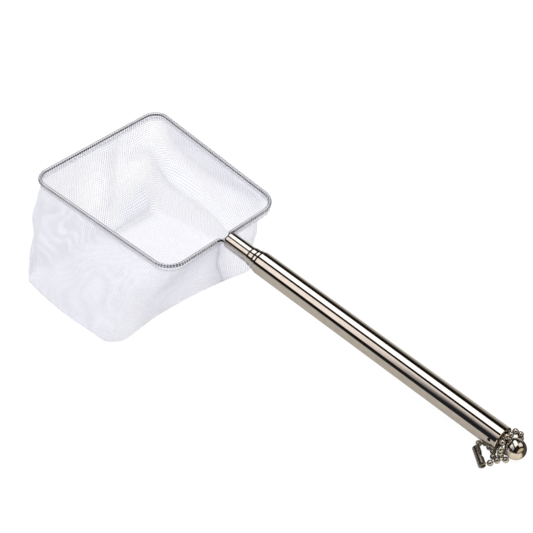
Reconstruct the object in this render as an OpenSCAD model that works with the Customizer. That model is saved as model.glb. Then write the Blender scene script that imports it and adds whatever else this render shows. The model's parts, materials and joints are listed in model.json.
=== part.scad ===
// Hand skimmer net: a small wire hoop with a mesh bag on a telescopic handle,
// with a ball-chain loop at the butt. Millimetres, +Z up.
//
// The net stands on the flat bottom of its bag, and the butt of the handle lies
// on its ball chain, so the handle leans by stand_lean. The origin lies on the
// surface it stands on, straight under the middle of the hoop, and +X runs
// towards the butt.
//
// Most pieces are drawn in the net's own frame: x along the handle towards the
// butt from the hoop's near bar, z square to the hoop's plane. stand() leans it.

/* [Hoop] */
// Width of the hoop at its far bar, between wire centres
hoop_far_w = 72; // [60:1:90]
// Width of the hoop at its near bar, between wire centres
hoop_near_w = 62; // [50:1:80]
// Length of the hoop from near bar to far bar, between wire centres
hoop_len = 88; // [70:1:110]
// Bend radius of the two far corners
far_corner_r = 7; // [5:0.5:12]
// Bend radius of the two near corners
near_corner_r = 9; // [5:0.5:12]
// Diameter of the hoop wire
wire_d = 1.6; // [1.2:0.1:1.8]
// Distance between the wire's two legs in the handle
leg_spacing = 3.8; // [3.4:0.1:4.2]
// Length of each leg inside its plug
leg_len = 10; // [6:1:14]

/* [Bag] */
// Width of the sewn hem below the wire's centre
hem_drop = 3.4; // [2.5:0.1:6]
// Thickness of the bag's wall
mesh_t = 0.5; // [0.4:0.1:1]
// Wall of the hem's tunnel around the wire
tunnel_wall = 0.25; // [0.2:0.05:0.5]
// Distance between the starts of two stitches
stitch_pitch = 2.5; // [2:0.1:4]
// Length of one stitch
stitch_len = 1.6; // [1:0.1:1.8]
// Thickness of the sewing thread
thread_d = 0.25; // [0.15:0.05:0.35]
// Width of the closing seam down the bag's near wall
seam_w = 1.6; // [1:0.2:3]

/* [Handle] */
// Diameter of the grip tube
grip_d = 10; // [9:0.5:12]
// Length of the grip tube
grip_len = 126.4; // [100:0.2:160]
// How much thinner each tube is than the one that it slides in
tube_step = 0.9; // [0.8:0.1:1]
// Wall of every tube
tube_wall = 0.2; // [0.15:0.05:0.25]
// Radial clearance of every sliding fit
slide_gap = 0.05; // [0.03:0.01:0.07]
// Length of the front tube that shows when the handle is closed
front_show = 13.6; // [8:0.1:25]
// Length of the third tube that shows when the handle is closed
third_show = 3; // [2:0.1:6]
// Length of the second tube that shows when the handle is closed
second_show = 2.1; // [2:0.1:6]
// Gap between the hoop's near bar and the front tube's mouth
mouth_gap = 3.2; // [2.2:0.1:4]
// Length of each spring sleeve
sleeve_len = 8; // [5:1:12]

/* [Butt] */
// Length of the plug inside the butt
butt_plug_len = 12; // [8:1:16]
// Thickness of the cap plate
cap_t = 0.7; // [0.5:0.1:1.5]
// Length of the neck that shows between the cap plate and the ball
neck_show = 1.85; // [1.8:0.05:3]
// Diameter of the neck
neck_d = 2.2; // [1.8:0.1:2.2]
// Diameter of the ball
ball_d = 8; // [7:0.1:9]
// Diameter of the pin that holds the butt plug
plug_pin_d = 1.4; // [1:0.1:2]

/* [Ball chain] */
// Diameter of the chain's beads
bead_d = 2.4; // [2:0.1:2.4]
// Outer diameter of the clasp
clasp_d = 3; // [2.8:0.1:3]
// Length of the clasp
clasp_len = 10; // [9.5:0.1:10.5]

/* [Stance] */
// Angle between the handle and the surface that the net stands on
stand_lean = 12; // [10:0.5:14]

/* [Hidden] */
$fn = 48;

steel = "silver";
bronze = "darkgoldenrod";
mesh_white = "white";
thread_white = "ghostwhite";
dark_steel = "dimgray";
black_plastic = "black";

slack = 0.1;          // end gap beside a sleeve, and other loose end gaps
seat_gap = 0.03;      // radial gap between a sleeve and the tube it clips round
stop_gap = 0.3;       // what is left between rib and shoulder at full reach
cut_over = 1;         // how far a cutting shape runs past what it cuts
soft_gap = 0.05;      // gap between cloth and what it lies on

// ---- handle: where each tube starts and ends, in the net's frame ----
tube_d = [for (i = [0 : 3]) grip_d - i * tube_step];
front_x = mouth_gap;
third_x = front_x + front_show;
second_x = third_x + third_show;
grip_x = second_x + second_show;
butt_x = grip_x + grip_len;
plug_face_x = butt_x - butt_plug_len;
closed_gap = 0.5;     // step between the tubes' rear ends when closed
second_end = plug_face_x - closed_gap;
third_end = second_end - closed_gap;
front_end = third_end - closed_gap;

mouth_land = 0.6;     // straight part of a necked mouth
mouth_taper = 0.9;    // length over which a tube necks in
skin_lead = 0.55;     // how far ahead of the bore the outer skin starts to widen
mouth_roll = 0.12;    // how far the front tube's mouth is rolled in,
roll_len = 0.5;       // and over what length
lip_len = 0.4;        // flared lip behind a sleeve
rib_len = 0.5;        // rolled rib in front of a sleeve
rib_h = 0.15;         // how far the rib stands out
sleeve_slot = 1;      // split that lets a sleeve spring
tail_len = lip_len + rib_len + sleeve_len + 2 * slack;

function bore_r(i) = tube_d[i] / 2 - tube_wall;
function land_r(i) = tube_d[i + 1] / 2 + slide_gap;

// How far each tube slides out of the one around it
second_travel = second_end - tail_len - (grip_x + mouth_land + mouth_taper) - stop_gap;
third_travel = third_end - tail_len - (second_x + mouth_land + mouth_taper) - stop_gap;
front_travel = front_end - tail_len - (third_x + mouth_land + mouth_taper) - stop_gap;
echo(second_travel = second_travel, third_travel = third_travel, front_travel = front_travel);

// ---- butt ----
cap_end = butt_x + cap_t;
ball_sink = ball_d / 2 - sqrt(pow(ball_d / 2, 2) - pow(neck_d / 2, 2));
ball_x = cap_end + neck_show + ball_d / 2 - ball_sink;
stud_grip = 6;        // length of the stud inside the plug
stud_hold = 2.5;      // length of the stud inside the ball
pin_back = 2.2;       // from the butt end to the plug pin
pin_angle = 252;      // where the pin sits around the tube
pin_sunk = 0.3;       // how far the pin's head lies below the tube's skin
pin_len = 2.4;

// ---- stance: the grip tube lies on one bead of the chain, whose middle is at
// seat_bead on the surface, seen from the ball's middle ----
bead_r = bead_d / 2;
seat_bead = [-7.88, -3];
seat_bead_gap = 0.06; // gap between the grip tube and that bead
ball_z = bead_r + seat_bead.x * tan(stand_lean)
  + sqrt(pow(grip_d / 2 + bead_r + seat_bead_gap, 2) - pow(seat_bead.y, 2)) / cos(stand_lean);
hoop_mid_x = hoop_len / 2 * cos(stand_lean);
mouth_z = ball_x * sin(stand_lean) + ball_z;
function lie(p) = [
  p.x * cos(stand_lean) + p.z * sin(stand_lean) + hoop_mid_x,
  p.y,
  -p.x * sin(stand_lean) + p.z * cos(stand_lean) + mouth_z
];
module stand() {
  translate([hoop_mid_x, 0, mouth_z]) rotate([0, stand_lean, 0]) children();
}

// Places a shape that is drawn around z at station x of the handle
module on_handle(x = 0) {
  stand() translate([x, 0, 0]) rotate([0, 90, 0]) children();
}

// ---- hoop path ----
leg_bend_r = 2.2;     // bend where a leg turns out of the handle
leg_end_x = leg_bend_r + leg_len;
leg_y = leg_spacing / 2;
hoop_corners = [
  [0, -hoop_near_w / 2], [-hoop_len, -hoop_far_w / 2],
  [-hoop_len, hoop_far_w / 2], [0, hoop_near_w / 2]
];
hoop_radii = [near_corner_r, far_corner_r, far_corner_r, near_corner_r];
tunnel_gap = 0.6;     // from the end of the leg's bend to the hem's tunnel
tunnel_end_y = leg_y + leg_bend_r + tunnel_gap;
hem_t = 2 * tunnel_wall;

function unit(v) = v / norm(v);
function turn(a, b) = atan2(a.x * b.y - a.y * b.x, a * b);
function lerp(a, b, f) = a + (b - a) * f;

// Stations along a rounded corner: each one its place and its heading
function corner(before, at, after, r, steps) =
  let (
    u = unit(at - before), v = unit(after - at), bend = turn(u, v),
    left = [-u.y, u.x] * sign(bend),
    middle = at - u * r * tan(abs(bend) / 2) + left * r,
    begin = atan2(-left.y, -left.x)
  )
  [for (k = [0 : steps])
    let (a = begin + bend * k / steps)
    [middle + r * [cos(a), sin(a)], atan2(u.y, u.x) + bend * k / steps]];

// The stations of a flat route with rounded corners
bend_steps = 8;
function route(points, radii) =
  let (last = len(points) - 1, first_way = points[1] - points[0],
    last_way = points[last] - points[last - 1])
  concat(
    [[points[0], atan2(first_way.y, first_way.x)]],
    [for (i = [1 : last - 1]) each corner(points[i - 1], points[i], points[i + 1], radii[i],
      bend_steps)],
    [[points[last], atan2(last_way.y, last_way.x)]]
  );

// One solid that carries a profile, [sideways, up], along a route's stations.
// cap lists the triangles that fill the profile.
module sweep(stations, profile, cap) {
  n = len(profile);
  last = len(stations) - 1;
  polyhedron(
    points = [for (s = stations, p = profile)
      [s[0].x - p.x * sin(s[1]), s[0].y + p.x * cos(s[1]), p.y]],
    faces = concat(
      cap,
      [for (r = [0 : last - 1], k = [0 : n - 1])
        let (a = r * n + k, b = r * n + (k + 1) % n)
        each [[b, a, a + n], [b, a + n, b + n]]],
      [for (t = cap) [t[2] + last * n, t[1] + last * n, t[0] + last * n]]
    )
  );
}

// A closed loop of points round four corners, each side bowed outwards by bow.
// Corners run the same way as hoop_corners.
arc_steps = 6;
side_steps = 10;
function loop(corners, radii, bow) =
  let (
    arcs = [for (i = [0 : 3]) [for (s = corner(corners[(i + 3) % 4], corners[i],
      corners[(i + 1) % 4], radii[i], arc_steps)) s[0]]]
  )
  [for (i = [0 : 3])
    let (
      from = arcs[i][arc_steps], to = arcs[(i + 1) % 4][0],
      out = [from.y - to.y, to.x - from.x] / norm(to - from)
    )
    each concat(arcs[i], [for (k = [1 : side_steps - 1])
      lerp(from, to, k / side_steps) + out * bow[i] * sin(180 * k / side_steps)])];
columns = 4 * (arc_steps + side_steps);

// Moves four corners inwards by the same distance on every side
function inset(corners, d) = [for (i = [0 : 3])
  let (
    u = unit(corners[i] - corners[(i + 3) % 4]),
    v = unit(corners[(i + 1) % 4] - corners[i]),
    nu = [u.y, -u.x], nv = [v.y, -v.x]
  )
  corners[i] + (nu + nv) / (1 + nu * nv) * d];

// ---- bag ----
// The bag's flat bottom on the surface: near left, far left, far right, near right
bag_foot = [[20.3, -54.8], [-56.7, -48.8], [-52.7, 28.2], [29.3, 23.2]];
bag_foot_r = [7, 3, 8, 5];
foot_bow = [2, 1, 1, -4];
// How the wall falls at each of those corners: under 1 it draws in straight
// below the hem, over 1 it hangs down first and spreads near the bottom
wall_ease = [0.9, 1.25, 1.2, 0.5];
wall_rows = 12;
floor_rings = 4;
no_bow = [0, 0, 0, 0];
hem_top_z = -hem_drop - soft_gap;

function column_ease(i) =
  let (
    per = arc_steps + side_steps,
    at = i / per, corner = floor(at),
    f = max(0, (i - corner * per - arc_steps) / side_steps)
  )
  lerp(wall_ease[corner], wall_ease[(corner + 1) % 4], f);

// One row of the bag's wall: depth 0 at the hem, 1 at the bottom. in is how far
// the row lies inside the outer face.
function wall_row(depth, in) =
  let (
    top = loop(inset(hoop_corners, in - mesh_t / 2), hoop_radii, no_bow),
    foot = loop(inset(bag_foot, in), bag_foot_r, foot_bow)
  )
  [for (i = [0 : columns - 1])
    let (
      rim = lie([top[i].x, top[i].y, hem_top_z]),
      flat = lerp([rim.x, rim.y], foot[i], pow(depth, column_ease(i)))
    )
    [flat.x, flat.y, lerp(rim.z, in, depth)]];

function foot_middle() = (bag_foot[0] + bag_foot[1] + bag_foot[2] + bag_foot[3]) / 4;
function floor_ring(scale, in) =
  let (edge = wall_row(1, in), mid = foot_middle())
  [for (p = edge) [lerp(mid.x, p.x, scale), lerp(mid.y, p.y, scale), in]];

// One skin of the bag, from the hem down the wall and in to the middle
function bag_skin(in) = concat(
  [for (r = [0 : wall_rows]) each wall_row(r / wall_rows, in)],
  [for (r = [1 : floor_rings - 1]) each floor_ring(1 - r / floor_rings, in)],
  [[foot_middle().x, foot_middle().y, in]]
);
skin_rings = wall_rows + floor_rings;
skin_points = skin_rings * columns + 1;

function ring_quads(base, flip) = [for (r = [0 : skin_rings - 2], i = [0 : columns - 1])
  let (
    a = base + r * columns + i, b = base + r * columns + (i + 1) % columns,
    c = b + columns, d = a + columns
  )
  each flip ? [[a, b, c], [a, c, d]] : [[c, b, a], [d, c, a]]];
function ring_fan(base, flip) = [for (i = [0 : columns - 1])
  let (
    a = base + (skin_rings - 1) * columns + i,
    b = base + (skin_rings - 1) * columns + (i + 1) % columns,
    m = base + skin_points - 1
  )
  flip ? [a, b, m] : [m, b, a]];
function rim_quads() = [for (i = [0 : columns - 1])
  let (a = i, b = (i + 1) % columns, c = skin_points + b, d = skin_points + a)
  each [[c, b, a], [d, c, a]]];

// ---- closing seam, on the near wall beside the handle ----
seam_t = 0.4;
seam_lift = 0.2;      // room between the seam and the wall behind it
seam_top = 0.02;      // where the seam starts down the wall: 0 at the hem,
seam_bottom = 0.96;   // and where it ends: 1 at the bag's bottom
seam_side = 3 * (arc_steps + side_steps) + arc_steps;  // column where the near side starts
seam_from = 4.3;      // columns along the near side, counted from the +Y end,
seam_to = 1.7;        // at the hem and at the bag's bottom
near_column_w = (hoop_near_w - 2 * near_corner_r) / side_steps;
function across(row, column) =
  let (i = floor(column))
  lerp(row[i % columns], row[(i + 1) % columns], column - i);
function wall_at(column, depth, in) =
  let (r = floor(depth * wall_rows))
  lerp(across(wall_row(r / wall_rows, in), column),
    across(wall_row((r + 1) / wall_rows, in), column), depth * wall_rows - r);
// The seam bends where the wall's rows bend
seam_depths = concat([seam_top], [for (r = [1 : wall_rows - 1]) r / wall_rows], [seam_bottom]);
function seam_ring(depth) =
  let (
    half = seam_w / 2 / near_column_w, at = seam_side + lerp(seam_from, seam_to, depth),
    near = -seam_lift, off = -seam_lift - seam_t
  )
  [wall_at(at - half, depth, near), wall_at(at + half, depth, near),
    wall_at(at + half, depth, off), wall_at(at - half, depth, off)];

// ---- ball chain: bead centres seen from the ball's foot on the surface. The
// chain lies under the handle, goes once round the neck, and its two ends meet
// in the clasp beside the handle. ----
clasp_foot = [-6.08, -11.3];
clasp_way = 142.6;    // direction of the clasp on the surface, degrees
clasp_bead_in = 1.75; // from the clasp's end to the bead that it holds
function along_clasp(d) = [clasp_foot.x + d * cos(clasp_way),
  clasp_foot.y + d * sin(clasp_way), clasp_d / 2];
function on_surface(x, y) = [x, y, bead_r];
function by_ball(x, y, up) = [x, y, ball_z + up];
beads = [
  along_clasp(clasp_bead_in),
  on_surface(-5.2, -8.1), [-3.9, -5.8, 1.5], [-1.5, -3.9, 1.8],
  by_ball(-3.8, -4, -1.25), by_ball(-3.2, -4.4, 1.15), by_ball(-3.9, -2.4, 2.65),
  by_ball(-3.7, 0, 3.75), by_ball(-3.95, 2.4, 2.65), by_ball(-3.8, 5, 2.45),
  by_ball(-2.8, 6.5, 0.45), [-3.3, 7.1, 2.9],
  on_surface(-4.4, 5), on_surface(-4.7, 2.4), on_surface(-4, -0.3), on_surface(-4.7, -2.8),
  on_surface(-6.3, -5), on_surface(seat_bead.x, seat_bead.y),
  on_surface(-10.3, -2.1), on_surface(-12.9, -1.3), [-14.1, -3.4, 1.9],
  along_clasp(clasp_len - clasp_bead_in)
];
bead_wall = 0.15;
link_d = 0.35;
link_hole_d = 0.5;
link_head_d = 0.6;
link_head_gap = 0.05; // gap between a link's head and the bead that holds it
link_head_at = bead_r - bead_wall - link_head_gap - link_head_d / 2;  // from the bead's middle
ball_foot = lie([ball_x, 0, 0]);

module at_ball() {
  translate([ball_foot.x, ball_foot.y, 0]) children();
}

// Points +Z of its children from one point towards another
module aim(from, to) {
  way = to - from;
  translate(from) rotate([0, acos(way.z / norm(way)), atan2(way.y, way.x)]) children();
}

// ---- tubes ----
// A tube with a necked mouth at x = 0, and a rib and a flared lip at its rear
// end when it slides in tube i - 1
module tube_body(i, length) {
  r = tube_d[i] / 2;
  land = land_r(i);
  neck = land + tube_wall;
  shoulder = mouth_land + mouth_taper;
  rotate_extrude() polygon([
    [land, 0], [neck, 0], [neck, mouth_land - skin_lead], [r, shoulder - skin_lead],
    [r, length], [bore_r(i), length], [bore_r(i), shoulder], [land, mouth_land]
  ]);
  if (i > 0) tube_tail(i, length);
}

module tube_tail(i, length) {
  r = tube_d[i] / 2;
  translate([0, 0, length - lip_len]) ring(bore_r(i - 1) - slide_gap, r - tube_wall / 2, lip_len);
  translate([0, 0, length - tail_len]) ring(r + rib_h, r - tube_wall / 2, rib_len);
}

module ring(outer_r, inner_r, length) {
  difference() {
    cylinder(r = outer_r, h = length);
    translate([0, 0, -cut_over]) cylinder(r = inner_r, h = length + 2 * cut_over);
  }
}

module spring_sleeve(i) {
  outer = bore_r(i - 1) - slide_gap;
  difference() {
    ring(outer, tube_d[i] / 2 + seat_gap, sleeve_len);
    translate([-outer - cut_over, -sleeve_slot / 2, -cut_over])
      cube([outer + cut_over, sleeve_slot, sleeve_len + 2 * cut_over]);
  }
}

module grip_tube() color(steel) on_handle(grip_x) difference() {
  tube_body(0, grip_len);
  pin_place() cylinder(d = plug_pin_d, h = grip_d);
}
module second_tube() color(steel) on_handle(second_x) tube_body(1, second_end - second_x);
module third_tube() color(steel) on_handle(third_x) tube_body(2, third_end - third_x);

module front_tube() color(steel) on_handle(front_x) {
  length = front_end - front_x;
  r = tube_d[3] / 2;
  rotate_extrude() polygon([
    [bore_r(3), 0], [r - mouth_roll, 0], [r, roll_len], [r, length], [bore_r(3), length]
  ]);
  tube_tail(3, length);
}

module sleeve_behind(i, end) color(bronze) on_handle(end - lip_len - slack - sleeve_len)
  spring_sleeve(i);
module second_spring_sleeve() sleeve_behind(1, second_end);
module third_spring_sleeve() sleeve_behind(2, third_end);
module front_spring_sleeve() sleeve_behind(3, front_end);

// ---- butt ----
// Radial place of the plug pin, seen from the grip tube's mouth
module pin_place() {
  translate([0, 0, grip_len - pin_back]) rotate([0, 0, pin_angle - 90]) rotate([-90, 0, 0])
    translate([0, 0, grip_d / 2 - pin_sunk - pin_len]) children();
}

module butt_plug() color(steel) on_handle(grip_x) difference() {
  translate([0, 0, grip_len - butt_plug_len]) cylinder(r = bore_r(0), h = butt_plug_len);
  translate([0, 0, grip_len - stud_grip]) cylinder(d = neck_d, h = stud_grip + cut_over);
  pin_place() cylinder(d = plug_pin_d, h = grip_d);
}

module plug_pin() color(dark_steel) on_handle(grip_x) pin_place()
  cylinder(d = plug_pin_d, h = pin_len);

module butt_cap() color(steel) on_handle(butt_x) {
  edge = 0.2;
  difference() {
    rotate_extrude() polygon([
      [0, 0], [grip_d / 2, 0], [grip_d / 2, cap_t - edge], [grip_d / 2 - edge, cap_t], [0, cap_t]
    ]);
    translate([0, 0, -cut_over]) cylinder(d = neck_d, h = cap_t + 2 * cut_over);
  }
}

module neck_stud() color(steel) on_handle(butt_x - stud_grip)
  cylinder(d = neck_d, h = ball_x - ball_d / 2 + ball_sink + stud_hold - butt_x + stud_grip);

module ball_knob() color(steel) on_handle(ball_x) difference() {
  sphere(d = ball_d);
  translate([0, 0, -ball_d / 2 - cut_over])
    cylinder(d = neck_d, h = ball_sink + stud_hold + cut_over);
}

// ---- head ----
leg_plug_x = mouth_gap + 0.4;   // the plug starts just inside the mouth
leg_plug_over = 2;    // how much longer the plug is than the legs
module leg_plug() color(black_plastic) stand() {
  difference() {
    translate([leg_plug_x, 0, 0]) rotate([0, 90, 0])
      cylinder(r = bore_r(3), h = leg_len + leg_plug_over);
    for (y = [-leg_y, leg_y]) translate([0, y, 0]) rotate([0, 90, 0])
      cylinder(d = wire_d, h = leg_end_x);
  }
}

wire_sides = 16;
function wire_profile() = [for (k = [0 : wire_sides - 1])
  wire_d / 2 * [cos(360 * k / wire_sides), sin(360 * k / wire_sides)]];
module hoop_wire() color(steel) stand() sweep(
  route(
    concat([[leg_end_x, -leg_y], [0, -leg_y]], hoop_corners, [[0, leg_y], [leg_end_x, leg_y]]),
    concat([0, leg_bend_r], hoop_radii, [leg_bend_r, 0])
  ),
  wire_profile(),
  [for (k = [1 : wire_sides - 2]) [0, k, k + 1]]
);

// The hem is one ply of cloth that goes up, over the wire and down again
tunnel_r = wire_d / 2 + soft_gap;
ply_gap = 0.04;       // between the hem's two plies below the wire
hem_arc_steps = 9;
function ply_side(r, half) = concat(
  [[half, -hem_drop]],
  [for (k = [0 : hem_arc_steps])
    let (low = asin(half / r), a = lerp(low - 90, 270 - low, k / hem_arc_steps))
    r * [cos(a), sin(a)]],
  [[-half, -hem_drop]]
);
module hem_band() color(mesh_white) stand() {
  outer = ply_side(tunnel_r + tunnel_wall, tunnel_wall + ply_gap / 2);
  inner = ply_side(tunnel_r, ply_gap / 2);
  n = len(outer);
  sweep(
    route(
      concat([[0, -tunnel_end_y]], hoop_corners, [[0, tunnel_end_y]]),
      concat([0], hoop_radii, [0])
    ),
    concat(outer, [for (k = [n - 1 : -1 : 0]) inner[k]]),
    [for (k = [0 : n - 2])
      each [[k, k + 1, 2 * n - 1 - k], [k + 1, 2 * n - 2 - k, 2 * n - 1 - k]]]
  );
  half = tunnel_end_y - soft_gap;
  translate([-hem_t / 2, -half, -hem_drop])
    cube([hem_t, 2 * half, hem_drop - tunnel_r - tunnel_wall]);
}

// One row of stitches on the outside of the hem, all the way round
stitch_up = 1;        // height of the stitches over the hem's lower edge
stitch_z = -hem_drop + stitch_up;
function loop_length(points, i = 0) = i == len(points) ? 0
  : norm(points[(i + 1) % len(points)] - points[i]) + loop_length(points, i + 1);
function walk(points, d, i = 0) =
  let (a = points[i], b = points[(i + 1) % len(points)], step = norm(b - a))
  d < step || i == len(points) - 1 ? lerp(a, b, d / step) : walk(points, d - step, i + 1);
module hem_stitching() color(thread_white) stand() {
  out = hem_t / 2 + thread_d / 2 + soft_gap;
  line = loop(inset(hoop_corners, -out), [for (r = hoop_radii) r + out], no_bow);
  count = floor(loop_length(line) / stitch_pitch);
  pitch = loop_length(line) / count;
  for (k = [0 : count - 1]) {
    a = walk(line, k * pitch);
    b = walk(line, k * pitch + stitch_len);
    aim([a.x, a.y, stitch_z], [b.x, b.y, stitch_z]) cylinder(d = thread_d, h = norm(b - a));
  }
}

module net_bag() color(mesh_white) polyhedron(
  points = concat(bag_skin(0), bag_skin(mesh_t)),
  faces = concat(ring_quads(0, true), ring_fan(0, true), ring_quads(skin_points, false),
    ring_fan(skin_points, false), rim_quads())
);

module closing_seam() color(mesh_white) {
  rings = [for (depth = seam_depths) seam_ring(depth)];
  last = len(rings) - 1;
  polyhedron(
    points = [for (ring = rings) each ring],
    faces = concat(
      [[0, 1, 3], [1, 2, 3]],
      [for (r = [0 : last - 1], k = [0 : 3])
        let (a = 4 * r + k, b = 4 * r + (k + 1) % 4)
        each [[b, a, a + 4], [b, a + 4, b + 4]]],
      [[4 * last + 3, 4 * last + 1, 4 * last], [4 * last + 3, 4 * last + 2, 4 * last + 1]]
    )
  );
}

// ---- ball chain ----
module chain_beads() color(steel) at_ball() {
  last = len(beads) - 1;
  for (i = [0 : last]) difference() {
    aim(beads[i], i < last ? beads[i + 1] : beads[i - 1]) difference() {
      sphere(d = bead_d);
      sphere(r = bead_r - bead_wall);
      cylinder(d = link_hole_d, h = bead_d);
    }
    if (i > 0 && i < last) aim(beads[i], beads[i - 1]) cylinder(d = link_hole_d, h = bead_d);
  }
}

module chain_links() color(steel) at_ball() {
  for (i = [0 : len(beads) - 2]) {
    reach = norm(beads[i + 1] - beads[i]);
    aim(beads[i], beads[i + 1]) {
      for (z = [link_head_at, reach - link_head_at]) translate([0, 0, z]) sphere(d = link_head_d);
      translate([0, 0, link_head_at]) cylinder(d = link_d, h = reach - 2 * link_head_at);
    }
  }
}

clasp_wall = 0.25;
clasp_slot = 0.9;     // slot that a link slides along
clasp_window = 3;     // hole that lets a bead into the clasp
clasp_end_in = 0.5;   // how far the ends draw in, and over what length
module chain_clasp() color(dark_steel) at_ball() aim(along_clasp(0), along_clasp(clasp_len)) {
  r = clasp_d / 2;
  difference() {
    rotate_extrude() polygon([
      [0, 0], [r - clasp_end_in, 0], [r, clasp_end_in], [r, clasp_len - clasp_end_in],
      [r - clasp_end_in, clasp_len], [0, clasp_len]
    ]);
    translate([0, 0, clasp_end_in]) cylinder(r = r - clasp_wall, h = clasp_len - 2 * clasp_end_in);
    translate([-clasp_slot / 2, -clasp_slot / 2, -cut_over])
      cube([clasp_slot, clasp_slot, clasp_len + 2 * cut_over]);
    translate([-clasp_slot / 2, -clasp_d, -cut_over])
      cube([clasp_slot, clasp_d, clasp_len + 2 * cut_over]);
    translate([0, 0, clasp_len / 2]) rotate([90, 0, 0])
      cylinder(d = clasp_window, h = clasp_d);
  }
}

grip_tube();
butt_plug();
plug_pin();
butt_cap();
neck_stud();
ball_knob();
second_tube();
second_spring_sleeve();
third_tube();
third_spring_sleeve();
front_spring_sleeve();
front_tube();
leg_plug();
hoop_wire();
hem_band();
hem_stitching();
net_bag();
closing_seam();
chain_beads();
chain_links();
chain_clasp();
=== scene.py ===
"""The looks of a small hand skimmer net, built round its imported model.

The net's own frame has x along the handle towards the butt, from the hoop's near
bar, y across and z square to the hoop's plane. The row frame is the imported
model's. Lengths are metres where a name or comment doesn't say millimetres.
"""

import json
import math

import bpy
import numpy as np
from mathutils import Matrix, Vector

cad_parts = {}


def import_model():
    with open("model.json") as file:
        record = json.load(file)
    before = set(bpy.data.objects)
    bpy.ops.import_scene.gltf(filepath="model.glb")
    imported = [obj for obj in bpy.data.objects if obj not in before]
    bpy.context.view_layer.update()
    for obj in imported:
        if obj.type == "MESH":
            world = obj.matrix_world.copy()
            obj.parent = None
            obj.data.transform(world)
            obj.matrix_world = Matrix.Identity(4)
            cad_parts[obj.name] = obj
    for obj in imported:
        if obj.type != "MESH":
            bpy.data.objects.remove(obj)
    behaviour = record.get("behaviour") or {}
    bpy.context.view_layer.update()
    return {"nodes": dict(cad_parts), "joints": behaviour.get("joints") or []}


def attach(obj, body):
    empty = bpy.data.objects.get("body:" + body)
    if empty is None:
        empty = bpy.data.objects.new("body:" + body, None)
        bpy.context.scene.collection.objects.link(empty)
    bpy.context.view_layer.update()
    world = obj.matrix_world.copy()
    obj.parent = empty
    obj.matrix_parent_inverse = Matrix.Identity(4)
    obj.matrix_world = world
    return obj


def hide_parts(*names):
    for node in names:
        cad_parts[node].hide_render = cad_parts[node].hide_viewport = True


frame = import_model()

MM = 0.001

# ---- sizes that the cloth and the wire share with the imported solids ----
CORNERS = 4               # of the hoop, and of the bag's foot
HOOP_FAR_W = 72 * MM
HOOP_NEAR_W = 62 * MM
HOOP_LEN = 88 * MM
FAR_CORNER_R = 7 * MM
NEAR_CORNER_R = 9 * MM
WIRE_D = 1.6 * MM
LEG_Y = 1.9 * MM
LEG_BEND_R = 2.2 * MM
LEG_END_X = 12.2 * MM
HEM_DROP = 3.4 * MM
TUNNEL_END_Y = 4.7 * MM

# The bag's flat bottom in the row frame, in millimetres: near left, far left, far
# right, near right. Its corners' radii, and how far the side after each one bows out
BAG_FOOT = [(20.3, -54.8), (-56.7, -48.8), (-52.7, 28.2), (29.3, 23.2)]
BAG_FOOT_R = [7, 3, 8, 5]
FOOT_BOW = [2, 1, 1, -4]
# How the wall falls at each of those corners: under 1 it moves out straight below the
# hem, over 1 it hangs down first and moves out near the bottom
WALL_EASE = [0.9, 1.15, 1.2, 0.5]


# ---- shader maths ----
class Field:
    """What one output of a shader node gives, so that shader maths reads as Python."""

    def __init__(self, graph, made, output):
        self.graph = graph
        self.made = made
        self.socket = made.outputs[output]

    def output(self, name):
        return Field(self.graph, self.made, name)

    def math(self, operation, *values):
        return self.graph.node("Math", {"operation": operation}, dict(enumerate(values)))

    def __add__(self, other):
        return self.math("ADD", self, other)

    def __sub__(self, other):
        return self.math("SUBTRACT", self, other)

    def __rsub__(self, other):
        return self.math("SUBTRACT", other, self)

    def __mul__(self, other):
        return self.math("MULTIPLY", self, other)

    def __truediv__(self, other):
        return self.math("DIVIDE", self, other)

    __radd__ = __add__
    __rmul__ = __mul__

    def absolute(self):
        return self.math("ABSOLUTE", self)

    def off_lane(self):
        """How far it is from the middle between two whole numbers, 0 to 0.5."""
        return (self.math("FRACT", self) - 0.5).absolute()

    def rise(self, low, high):
        """0 below low, 1 above high and smooth between."""
        return self.graph.node("MapRange", {"interpolation_type": "SMOOTHSTEP"},
                               {"Value": self, "From Min": low, "From Max": high})

    def between(self, start, end):
        """1 from start to end and 0 outside; both are soft, and given as (low, high)."""
        return self.rise(*start) * (1 - self.rise(*end))


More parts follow.
